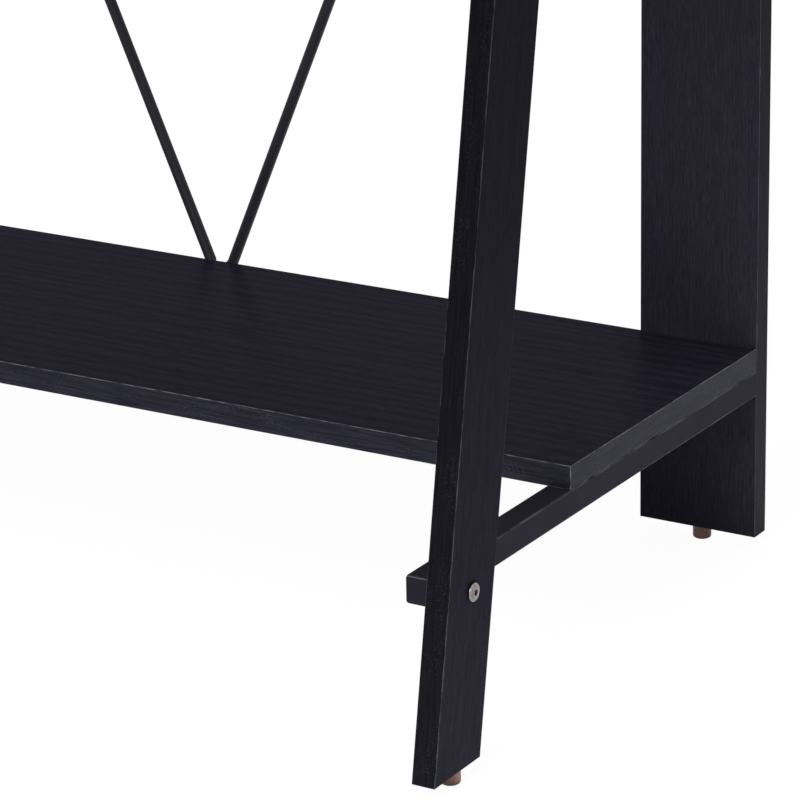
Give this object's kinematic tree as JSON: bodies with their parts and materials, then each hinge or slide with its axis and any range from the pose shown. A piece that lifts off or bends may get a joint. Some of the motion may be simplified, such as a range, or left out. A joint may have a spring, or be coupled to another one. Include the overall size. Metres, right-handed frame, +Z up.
{
  "type": "ladder desk",
  "caption": "Ladder desk with leaning front legs, vertical rear uprights, square tube rails, a desktop with shelves below and above it, and a V brace of thin rods at the back.",
  "frame": {"origin": "on the floor, under the middle of the desk's box", "axes": "+X to the right seen from the front, +Y to the back, +Z up"},
  "size_m": [1.0232, 0.5407, 1.42],
  "materials": {
    "board_laminate": "black wood-grain laminate on chipboard, satin",
    "edge_band": "black printed edge strip, finely speckled",
    "coated_steel": "black powder coat, satin",
    "cap_plastic": "black moulded plastic",
    "nickel_bolt": "nickel-plated steel",
    "zinc_steel": "bright zinc-plated steel",
    "black_screw": "black oxide steel",
    "foot_plastic": "brown moulded plastic"
  },
  "bodies": {
    "root": {"front_leg_left": "board_laminate", "rear_upright_left": "board_laminate", "front_leg_left_edge_bands": "edge_band", "rear_upright_left_edge_bands": "edge_band", "brace_rod_left": "coated_steel", "front_leg_right": "board_laminate", "rear_upright_right": "board_laminate", "front_leg_right_edge_bands": "edge_band", "rear_upright_right_edge_bands": "edge_band", "brace_rod_right": "coated_steel", "lower_shelf": "board_laminate", "lower_shelf_edge_bands": "edge_band", "side_rail_lower_shelf_left": "coated_steel", "side_rail_lower_shelf_right": "coated_steel", "desktop": "board_laminate", "desktop_edge_bands": "edge_band", "side_rail_desktop_left": "coated_steel", "side_rail_desktop_right": "coated_steel", "upper_shelf": "board_laminate", "upper_shelf_edge_bands": "edge_band", "side_rail_upper_shelf_left": "coated_steel", "side_rail_upper_shelf_right": "coated_steel", "top_shelf": "board_laminate", "top_shelf_edge_bands": "edge_band", "side_rail_top_shelf_left": "coated_steel", "side_rail_top_shelf_right": "coated_steel", "rail_front_caps": "cap_plastic", "rail_rear_plugs": "zinc_steel", "rail_rivet_nuts": "zinc_steel", "leg_bolts": "nickel_bolt", "upright_bolts": "nickel_bolt", "board_screws": "black_screw", "brace_screws": "black_screw", "feet": "foot_plastic", "foot_nails": "zinc_steel"}
  },
  "joints": []
}
